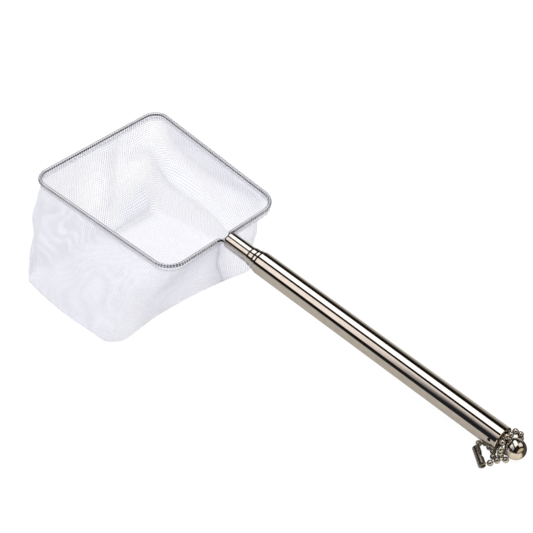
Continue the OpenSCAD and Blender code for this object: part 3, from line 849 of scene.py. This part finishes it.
def closing_seam(wall):
    """The bag's two edges sewn together: a low puckered strip down the near wall."""
    depth = np.linspace(SEAM_TOP, SEAM_BOTTOM, SEAM_ROWS)
    column = SEAM_SIDE + SEAM_FROM + (SEAM_TO - SEAM_FROM) * depth
    core = on_wall(wall, depth, column)
    side = on_wall(wall, depth, column + 1) - on_wall(wall, depth, column - 1)
    side /= np.linalg.norm(side, axis=1)[:, None]
    out = np.cross(side, np.gradient(core, axis=0))
    out /= np.linalg.norm(out, axis=1)[:, None]
    out *= np.sign(out[:, :1])
    pucker = SEAM_PUCKER * np.sin(2 * np.pi * SEAM_PUCKERS * depth)[:, None]
    core = core + out * SEAM_OUT + side * pucker
    sideways, outwards = circle(SEAM_SIDES).T[:, None, :, None]
    half_w = SEAM_HALF_W + pucker[:, None] * PUCKER_SWELL
    grid = (core[:, None] + side[:, None] * sideways * half_w
            + out[:, None] * outwards * SEAM_HALF_T)
    return piece("closing_seam_strip", grid.reshape(-1, 3),
                 grid_faces(SEAM_ROWS, SEAM_SIDES, True), "net_head",
                 "closing_seam", grid_weave(grid, True))


# ---- camera ----
CAMERA_AT = Vector((0.39286, -0.24216, 0.31697))
CAMERA_RIGHT = Vector((0.67226, 0.72499, -0.14984))
CAMERA_UP = Vector((-0.34383, 0.48501, 0.80408))
CAMERA_LENS = 81.05       # millimetres, as is the sensor's width
SENSOR_W = 36
CLIP_START = 0.01


def camera():
    made = bpy.data.objects.new("camera", bpy.data.cameras.new("camera"))
    bpy.context.scene.collection.objects.link(made)
    back = CAMERA_RIGHT.cross(CAMERA_UP)
    turned = Matrix((CAMERA_RIGHT, CAMERA_UP, back)).transposed().to_4x4()
    made.matrix_world = Matrix.Translation(CAMERA_AT) @ turned
    made.data.lens = CAMERA_LENS
    made.data.sensor_width = SENSOR_W
    made.data.clip_start = CLIP_START
    bpy.context.scene.camera = made


# ---- the studio that the metal mirrors: long light boxes and dark flags that lie along
# the handle. Bands are (degrees, colour), by the angle round the handle's axis from
# TOWARDS over OVERHEAD, and turn by TILT degrees as the mirrored way swings along it ----
TOWARDS = Vector((0.17, -0.573, 0.802))
OVERHEAD = Vector((0.119, 0.819, 0.561))
WHITE = (1, 1, 1)
WHITE_BOX = (1.8, 1.8, 1.8)
CREAM_BOX = (1.3, 1.19, 1.13)
TAUPE = (0.56, 0.53, 0.48)
DUSK = (0.38, 0.35, 0.31)
FLAG = (0.008, 0.007, 0.006)
BANDS = [
    (-180, TAUPE), (-56, TAUPE), (-53, FLAG), (-30, FLAG), (-26, CREAM_BOX), (13, CREAM_BOX),
    (15.5, FLAG), (32, FLAG), (34, WHITE_BOX), (73, WHITE_BOX), (77, FLAG), (106, FLAG),
    (126, DUSK), (148, TAUPE), (180, TAUPE),
]
TILT = 46
TILT_ZERO = -0.42         # where the bands' angles hold, along the handle
AMBIENT = (0.75, 0.75, 0.75)

# What lies over the bands. The edges are soft, (low, high): ALONG ones run from -1
# towards the hoop to 1 towards the butt, BAND ones are degrees, and HIGH ones radians
DIM = (0.02, 0.02, 0.025)
DIM_ALONG = (-0.47, -0.34)
DIM_BAND_END = (-25, 24)
SHADE = (0.07, 0.06, 0.05)
SHADE_ALONG = (-0.27, -0.18)
BOXES_BAND_START = (-34, -27)
BOXES_BAND_END = (74, 80)
BANDS_ALONG = (-0.74, -0.66)
FLAG_ALONG = (0.0, 0.15)
HEAD_BOX = (1.3, 1.2, 1.05)
HEAD_BOX_HIGH = [(0.8, 0.9), (1.6, 1.75)]
HEAD_BOX_ALONG = [(0.0, 0.1), (0.5, 0.58)]
GOLDEN = (0.75, 0.62, 0.42)
GOLDEN_ALONG = (0.72, 0.8)


def studio(graph):
    """What a mirrored ray meets, by its way."""
    way = graph.node("TexCoord", output="Generated")
    along = graph.dot(way, ALONG)
    angle = graph.node("Math", {"operation": "ARCTAN2"},
                       {0: graph.dot(way, OVERHEAD), 1: graph.dot(way, TOWARDS)})
    turned = angle * (180 / math.pi) + (along - TILT_ZERO) * TILT
    stops = [(degrees / 360 + 0.5, colour) for degrees, colour in BANDS]
    bands = graph.node("ValToRGB", {"stops": stops}, {"Fac": turned / 360 + 0.5})
    dimmed = along.rise(*DIM_ALONG) * (1 - turned.rise(*DIM_BAND_END))
    seen = graph.blend(dimmed, bands, DIM)
    boxes = turned.between(BOXES_BAND_START, BOXES_BAND_END)
    seen = graph.blend(along.rise(*SHADE_ALONG) * (1 - boxes), seen, SHADE)
    seen = graph.blend(along.rise(*BANDS_ALONG), FLAG, seen)
    seen = graph.blend(along.rise(*FLAG_ALONG), seen, FLAG)
    over_head = angle.between(*HEAD_BOX_HIGH) * along.between(*HEAD_BOX_ALONG)
    seen = graph.blend(over_head, seen, HEAD_BOX)
    return graph.blend(along.rise(*GOLDEN_ALONG), seen, GOLDEN)


def world():
    graph = Graph(bpy.data.worlds.new("studio"))
    ray = graph.node("LightPath")
    plain = graph.blend(ray.output("Is Camera Ray"), AMBIENT, WHITE)
    plain = graph.blend(ray.output("Is Transmission Ray"), plain, WHITE)
    seen = graph.blend(ray.output("Is Glossy Ray"), plain, studio(graph))
    surface = graph.node("Background", None, {"Color": seen})
    bpy.context.scene.world = graph.finish(surface, "OutputWorld")


# ---- floor ----
FLOOR_HALF = 1.5
FLOOR_SINK = 0.05 * MM    # how far it lies below the net
FLOOR_PALE = (0.9, 0.9, 0.9)
FLOOR_GLOW = 1.05
CAMERA_GLOW = 0.9         # share of that glow in what the camera sees
# What the metal mirrors of it, by places in the row frame: painted reflection that only mirrored
# rays see, dark past the butt and on the cap's far side, cream under the ball
PAST_BUTT = 0.225         # where it turns dark, along x
UNDER_BALL = 0.191        # where it turns pale, on the near side of the handle
UNDER_CAP = 0.185         # where it turns dark, on the far side
BUTT_BLEND = 10 * MM
BALL_BLEND = 3 * MM
FAR_SIDE = (-2 * MM, 2 * MM)
PAINTED_DARK_REFLECTION = (0.08, 0.07, 0.06)
PAINTED_CREAM_REFLECTION = (0.95, 0.85, 0.7)


def mirrored_floor(graph):
    place = graph.split(graph.node("TexCoord", output="Object"))
    # Painted reflection: the cream and dark patches show only in the metal
    seen = graph.blend(place.rise(UNDER_BALL, UNDER_BALL + BALL_BLEND), TAUPE, PAINTED_CREAM_REFLECTION)
    under_cap = place.rise(UNDER_CAP, UNDER_CAP + BALL_BLEND) * place.output("Y").rise(*FAR_SIDE)
    seen = graph.blend(under_cap, seen, PAINTED_DARK_REFLECTION)
    return graph.blend(place.rise(PAST_BUTT, PAST_BUTT + BUTT_BLEND), seen, PAINTED_DARK_REFLECTION)


def floor_material():
    """White to the camera, but pale enough underneath to keep the net's faint shadow."""
    graph = Graph(bpy.data.materials.new("pale floor"))
    ray = graph.node("LightPath")
    colour = graph.blend(ray.output("Is Glossy Ray"), FLOOR_PALE, mirrored_floor(graph))
    matte = graph.node("BsdfDiffuse", None, {"Color": colour})
    glow = graph.node("Emission", None, {"Color": (*WHITE, 1), "Strength": FLOOR_GLOW})
    share = ray.output("Is Camera Ray") * CAMERA_GLOW
    return graph.finish(graph.node("MixShader", None, {0: share, 1: matte, 2: glow}))


def ground():
    corners = [(-1, -1), (1, -1), (1, 1), (-1, 1)]
    mesh = bpy.data.meshes.new("floor")
    mesh.from_pydata([(x * FLOOR_HALF, y * FLOOR_HALF, 0) for x, y in corners], [],
                     [(0, 1, 2, 3)])
    floor = bpy.data.objects.new("floor", mesh)
    floor.location.z = -FLOOR_SINK
    bpy.context.scene.collection.objects.link(floor)
    dress(floor, floor_material())


# ---- lamp ----
KEY_WAY = Vector((0.2, -0.25, 1.0))
KEY_STRENGTH = 1.2
KEY_SPREAD = 15           # degrees


def key_light():
    lamp = bpy.data.lights.new("key", "SUN")
    lamp.energy = KEY_STRENGTH
    lamp.angle = math.radians(KEY_SPREAD)
    made = bpy.data.objects.new("key", lamp)
    made.visible_glossy = False
    made.rotation_mode = "QUATERNION"
    made.rotation_quaternion = KEY_WAY.to_track_quat("Z", "Y")
    bpy.context.scene.collection.objects.link(made)


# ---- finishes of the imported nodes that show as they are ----
STEEL = (0.7, 0.66, 0.61)
CHAIN_STEEL = (0.62, 0.59, 0.54)
DULL_STEEL = (0.34, 0.31, 0.27)
PIN_STEEL = (0.05, 0.045, 0.04)
BRONZE = (0.62, 0.45, 0.2)
MESH_WHITE = (0.83, 0.83, 0.925)

CAD_FINISHES = {
    metal("polished warm steel", STEEL, roughness=0.035): [
        "grip_tube", "butt_plug", "butt_cap", "neck_stud", "second_tube", "third_tube",
        "front_tube"],
    metal("tumbled ball steel", STEEL, roughness=0.11): ["ball_knob"],
    metal("polished chain steel", CHAIN_STEEL, roughness=0.03): ["chain_beads", "chain_links"],
    metal("dull dark steel", DULL_STEEL, roughness=0.2, grain=0.1): ["chain_clasp"],
    metal("blackened pin steel", PIN_STEEL, roughness=0.3): ["plug_pin"],
    metal("rolled bronze strip", BRONZE, roughness=0.25): [
        "second_spring_sleeve", "third_spring_sleeve", "front_spring_sleeve"],
    rubbery_plastic(): ["leg_plug"],
}
for material, nodes in CAD_FINISHES.items():
    for node in nodes:
        dress(frame["nodes"][node], material)

camera()
world()
ground()
key_light()
wire = dress(hoop_wire(), wire_steel())
bag_rings = bag_shape()
bag = dress(net_bag(bag_rings), cloth("fine white net", MESH_WHITE, MESH_PITCH, YARN))
seam = dress(closing_seam(bag_rings), cloth("sewn net seam", MESH_WHITE, MESH_PITCH, SEAM_YARN))
hem = dress(hem_band(), cloth("folded net hem", MESH_WHITE, HEM_PITCH, HEM_YARN))
stitches = dress(hem_stitches(), thread_material())
bpy.context.scene.view_settings.view_transform = "Standard"
